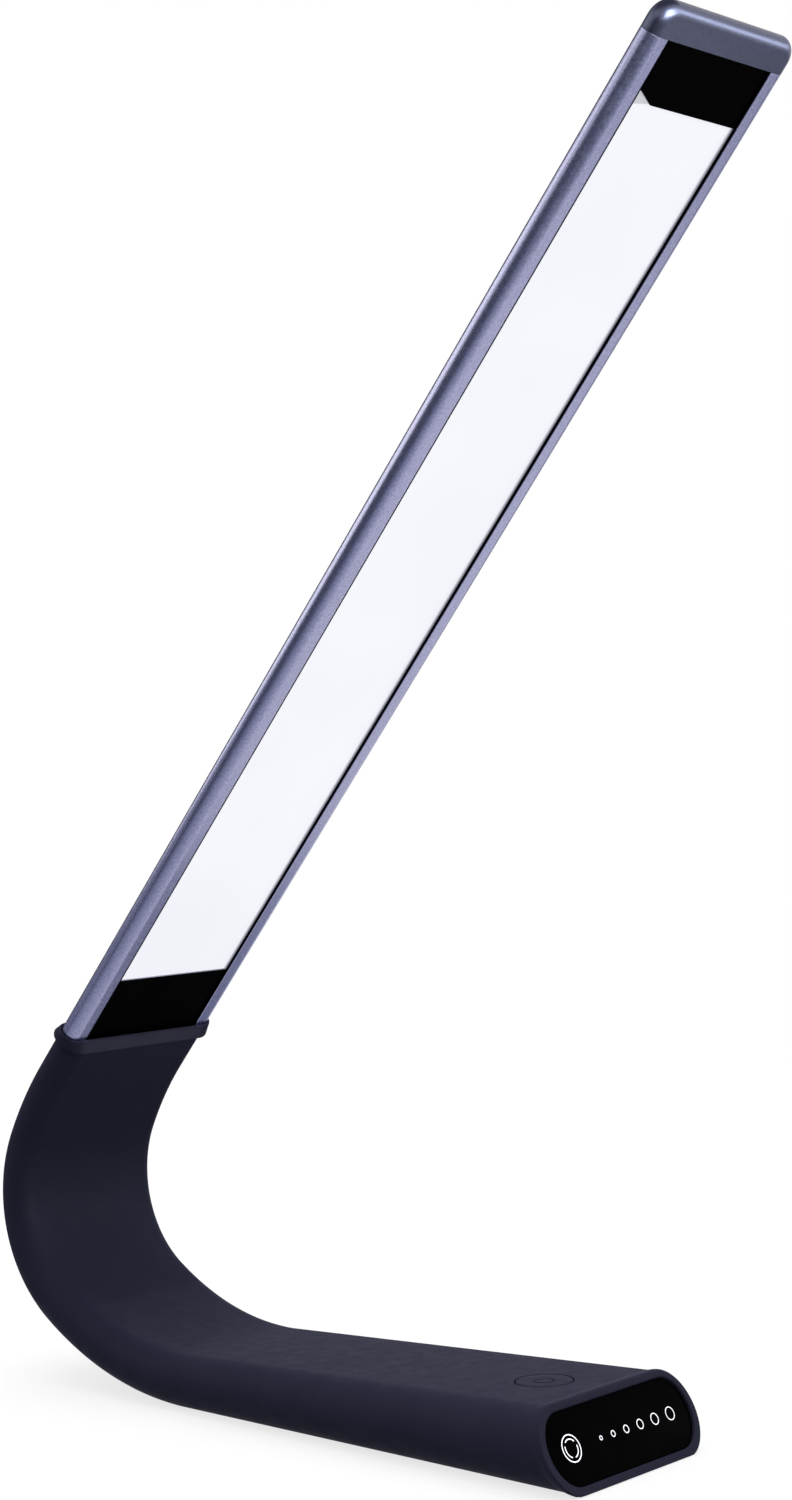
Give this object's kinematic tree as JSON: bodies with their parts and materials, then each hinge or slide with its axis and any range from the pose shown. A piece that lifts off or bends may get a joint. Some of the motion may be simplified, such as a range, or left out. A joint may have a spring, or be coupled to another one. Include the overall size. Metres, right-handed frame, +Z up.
{
  "type": "cordless desk lamp",
  "caption": "Cordless desk lamp with a slim light bar on a bendable silicone-covered neck that runs into a flat wedge base with a slanted touch panel and a push power key",
  "frame": {"origin": "middle of the base's flat underside, which rests on the table", "axes": "+Z up; the touch panel faces -Y and the neck's bend is at +Y; +X completes the right-handed frame"},
  "size_m": [0.052, 0.1978, 0.2892],
  "materials": {
    "silicone": "matte soft-touch",
    "anodised": "fine bead-blasted, anodised grey",
    "cap_metal": "anodised, smoother than the bar",
    "spine_metal": "as machined",
    "steel": "bright",
    "weight_steel": "dark zinc coat",
    "black_gloss": "polished",
    "case_plastic": "moulded",
    "board": "solder mask",
    "white_sheet": "satin, lit",
    "clear_guide": "clear, polished edges",
    "chip_yellow": "phosphor",
    "cell_wrap": "foil wrap",
    "lead_jacket": "smooth",
    "switch_plastic": "moulded"
  },
  "bodies": {
    "base": {"base_sleeve": "silicone", "neck_sleeve": "silicone", "neck_lead": "lead_jacket", "base_tray": "case_plastic", "base_lid": "case_plastic", "lid_screws": "steel", "counterweight": "weight_steel", "battery": "cell_wrap", "control_board": "board", "tact_switch": "switch_plastic", "charge_port": "steel", "touch_panel": "black_gloss", "touch_board": "board", "panel_carrier": "case_plastic", "neck_anchor": "spine_metal", "anchor_screws": "steel", "hinge_pins_1": "steel"},
    "link_1": {"spine_link_1": "spine_metal", "hinge_pins_2": "steel"},
    "link_2": {"spine_link_2": "spine_metal", "hinge_pins_3": "steel"},
    "link_3": {"spine_link_3": "spine_metal", "hinge_pins_4": "steel"},
    "link_4": {"spine_link_4": "spine_metal", "hinge_pins_5": "steel"},
    "link_5": {"spine_link_5": "spine_metal", "hinge_pins_6": "steel"},
    "link_6": {"spine_link_6": "spine_metal", "hinge_pins_7": "steel"},
    "link_7": {"spine_link_7": "spine_metal", "hinge_pins_8": "steel"},
    "link_8": {"spine_link_8": "spine_metal", "hinge_pins_9": "steel"},
    "head": {"head_anchor": "spine_metal", "head_housing": "anodised", "end_cap": "cap_metal", "face_mask": "black_gloss", "diffuser": "white_sheet", "light_guide": "clear_guide", "reflector": "white_sheet", "led_boards": "board", "led_chips": "chip_yellow", "collar": "silicone"},
    "power_key": {"power_key": "silicone", "switch_plunger": "case_plastic"}
  },
  "joints": [
    {"name": "neck_bend_1", "type": "hinge", "parent": "base", "child": "link_1", "pos_m": [0, 0.06097, 0.00618], "axis": [1, 0, 0], "range_deg": [-9.45, 3.74], "deforming": ["neck_sleeve", "neck_lead"]},
    {"name": "neck_bend_2", "type": "hinge", "parent": "link_1", "child": "link_2", "pos_m": [0, 0.07279, 0.00801], "axis": [1, 0, 0], "range_deg": [-9.45, 3.74], "deforming": ["neck_sleeve", "neck_lead"]},
    {"name": "neck_bend_3", "type": "hinge", "parent": "link_2", "child": "link_3", "pos_m": [0, 0.08416, 0.01177], "axis": [1, 0, 0], "range_deg": [-9.45, 3.74], "deforming": ["neck_sleeve", "neck_lead"]},
    {"name": "neck_bend_4", "type": "hinge", "parent": "link_3", "child": "link_4", "pos_m": [0, 0.09478, 0.01736], "axis": [1, 0, 0], "range_deg": [-13.73, 5.43], "deforming": ["neck_sleeve", "neck_lead"]},
    {"name": "neck_bend_5", "type": "hinge", "parent": "link_4", "child": "link_5", "pos_m": [0, 0.10314, 0.02455], "axis": [1, 0, 0], "range_deg": [-21.3, 8.42], "deforming": ["neck_sleeve", "neck_lead"]},
    {"name": "neck_bend_6", "type": "hinge", "parent": "link_5", "child": "link_6", "pos_m": [0, 0.10831, 0.03422], "axis": [1, 0, 0], "range_deg": [-21.3, 8.42], "deforming": ["neck_sleeve", "neck_lead"]},
    {"name": "neck_bend_7", "type": "hinge", "parent": "link_6", "child": "link_7", "pos_m": [0, 0.10963, 0.04523], "axis": [1, 0, 0], "range_deg": [-21.3, 8.42], "deforming": ["neck_sleeve", "neck_lead"]},
    {"name": "neck_bend_8", "type": "hinge", "parent": "link_7", "child": "link_8", "pos_m": [0, 0.1068, 0.0561], "axis": [1, 0, 0], "range_deg": [-14.57, 5.76], "deforming": ["neck_sleeve", "neck_lead"]},
    {"name": "neck_bend_9", "type": "hinge", "parent": "link_8", "child": "head", "pos_m": [0, 0.10068, 0.06671], "axis": [1, 0, 0], "range_deg": [-9.04, 3.57], "deforming": ["neck_sleeve", "neck_lead"]},
    {"name": "power_press", "type": "slide", "parent": "base", "child": "power_key", "axis": [0, -0.0427, -0.9991], "range_m": [0, 0.0005], "stiffness_N_per_m": 3000}
  ]
}
